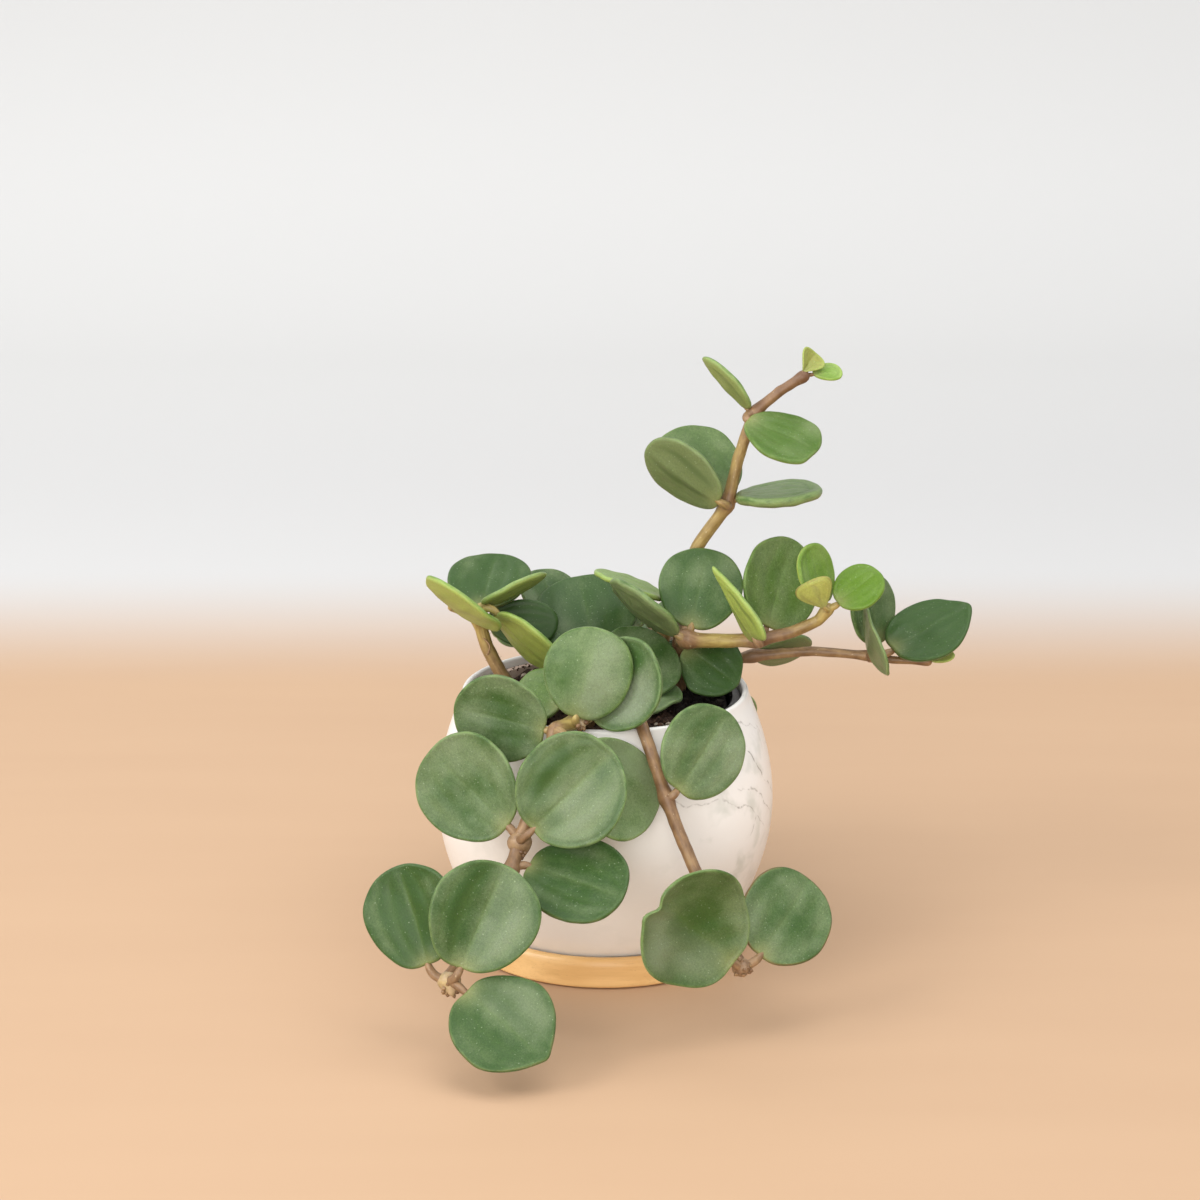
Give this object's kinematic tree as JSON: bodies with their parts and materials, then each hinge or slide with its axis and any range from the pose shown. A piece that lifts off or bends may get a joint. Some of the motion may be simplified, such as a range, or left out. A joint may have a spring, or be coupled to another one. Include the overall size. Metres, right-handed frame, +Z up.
{
  "type": "potted trailing jade peperomia plant",
  "caption": "Trailing houseplant with thick round green leaves, growing from soil in a marbled ceramic pot that stands on a turned wooden saucer.",
  "frame": {"origin": "centre of the saucer's flat underside, on the surface that the part stands on", "axes": "+Z up, along the pot's axis; -Y towards the front, where the two long stems trail over the rim; +X to the right as seen from the front, where the two runners reach out"},
  "size_m": [0.1314, 0.1427, 0.1337],
  "materials": {
    "jade_leaf": "satin, with a waxy bloom",
    "marbled_glaze": "satin white glaze with sparse grey-brown veins",
    "turned_wood": "satin, light tan",
    "black_plastic": "matt black",
    "peat_soil": "rough, dark brown"
  },
  "bodies": {
    "root": {"saucer": "turned_wood", "marbled_pot": "marbled_glaze", "nursery_pot": "black_plastic", "potting_soil": "peat_soil", "upright_shoot": "jade_leaf", "left_shoot": "jade_leaf", "front_left_trailer": "jade_leaf", "front_right_trailer": "jade_leaf", "upper_runner": "jade_leaf", "lower_runner": "jade_leaf", "middle_front_shoot": "jade_leaf", "middle_back_shoot": "jade_leaf", "back_shoot": "jade_leaf", "back_left_trailer": "jade_leaf", "back_right_trailer": "jade_leaf"}
  },
  "joints": []
}
